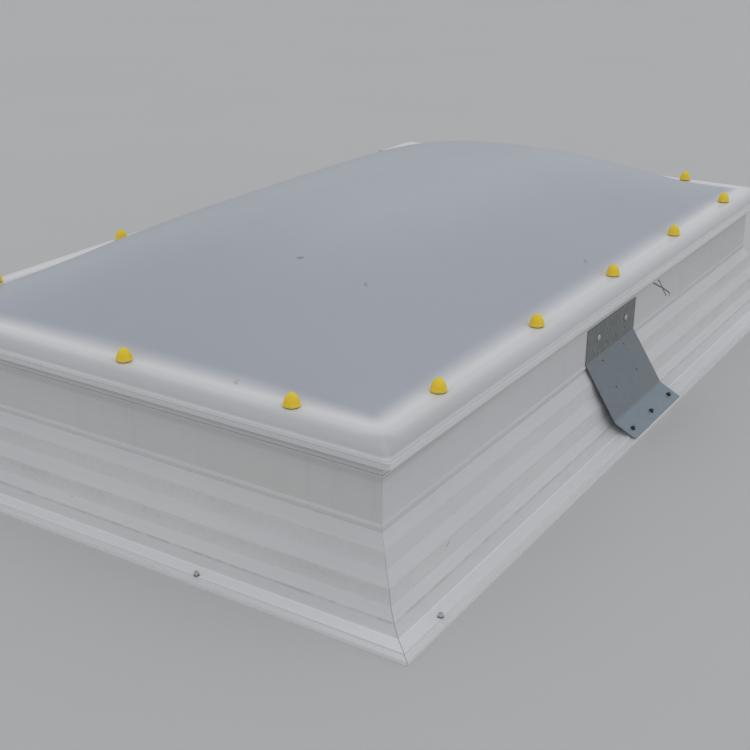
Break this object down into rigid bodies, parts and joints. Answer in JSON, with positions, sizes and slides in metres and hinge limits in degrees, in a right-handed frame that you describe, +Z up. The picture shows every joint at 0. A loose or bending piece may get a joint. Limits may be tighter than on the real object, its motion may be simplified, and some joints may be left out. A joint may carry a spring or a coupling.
{
  "type": "roof skylight",
  "caption": "Industrial roof skylight: a low opal pillow dome, held by capped screws, on a white hollow plastic upstand with a banded sloping skirt, a base flange and a folded steel bracket.",
  "frame": {"origin": "centre of the underside of the base flange", "axes": "+X along the length, +Y across towards the long side without the bracket, +Z up"},
  "size_m": [2.484, 1.54, 0.507],
  "materials": {
    "upstand_plastic": "semi-gloss white, extruded",
    "opal_skin": "opal, glossy, thermoformed",
    "clear_seal": "pale sealing strip",
    "rubber": "black sealing rubber, matt",
    "sleeve_plastic": "natural nylon",
    "screw_steel": "zinc plated",
    "cap_plastic": "yellow, satin",
    "galvanised_sheet": "galvanised sheet, dull blue-grey"
  },
  "bodies": {
    "root": {"upstand_front": "upstand_plastic", "upstand_back": "upstand_plastic", "upstand_left": "upstand_plastic", "upstand_right": "upstand_plastic", "outer_skin": "opal_skin", "middle_skin": "opal_skin", "inner_skin": "opal_skin", "upper_skin_seal": "clear_seal", "lower_skin_seal": "clear_seal", "head_gasket": "rubber", "screw_sleeves": "sleeve_plastic", "cap_washers": "rubber", "cap_seats": "cap_plastic", "dome_screws": "screw_steel", "screw_caps": "cap_plastic", "flange_washers": "rubber", "flange_screws": "screw_steel", "bracket": "galvanised_sheet", "bracket_wall_screws": "screw_steel", "bracket_foot_washers": "rubber", "bracket_foot_screws": "screw_steel"}
  },
  "joints": []
}
